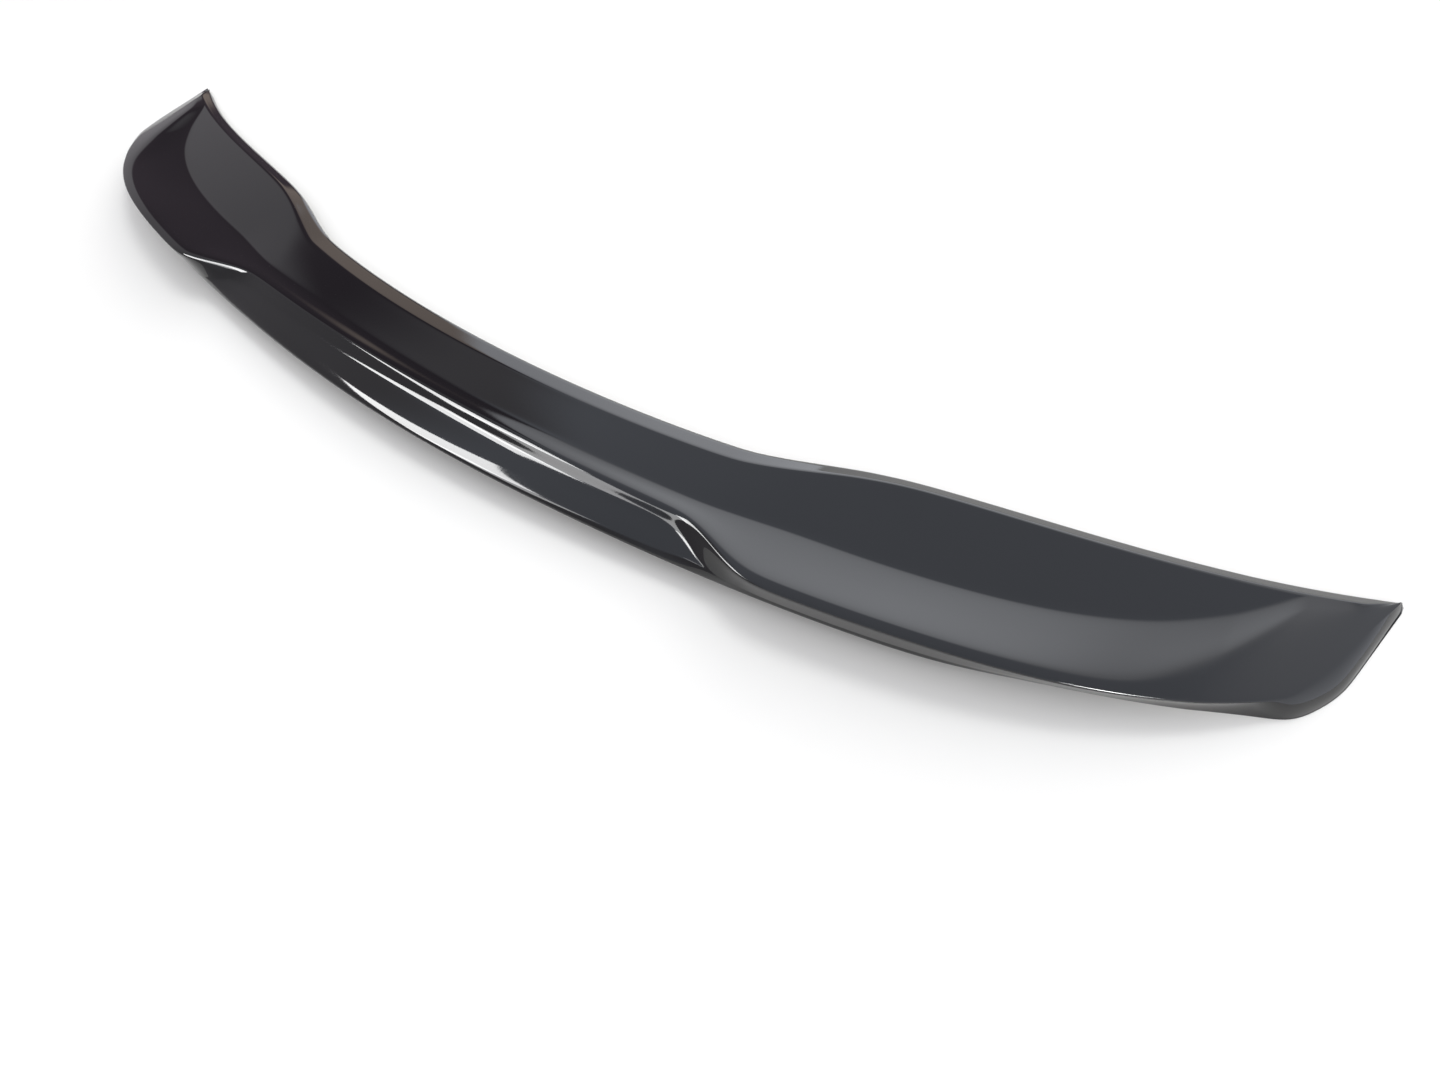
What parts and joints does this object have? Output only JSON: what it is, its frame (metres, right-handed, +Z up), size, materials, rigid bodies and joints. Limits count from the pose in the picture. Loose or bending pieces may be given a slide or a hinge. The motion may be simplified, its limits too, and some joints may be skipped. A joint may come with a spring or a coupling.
{
  "type": "car spoiler",
  "caption": "Bowed gloss-black boot-lip spoiler with a raised ridge, a stepped trailing ledge and swept tips, moulded hollow to bond on a saloon's boot lid.",
  "frame": {"origin": "middle of the underside of the part's box, on the plane of the flat pads under its two ends", "axes": "+X across the car towards its right side, +Y forwards to the leading edge, +Z up"},
  "size_m": [1.2426, 0.2442, 0.0389],
  "materials": {
    "gloss_black": "polished gloss black"
  },
  "bodies": {
    "root": {"spoiler_body": "gloss_black"}
  },
  "joints": []
}
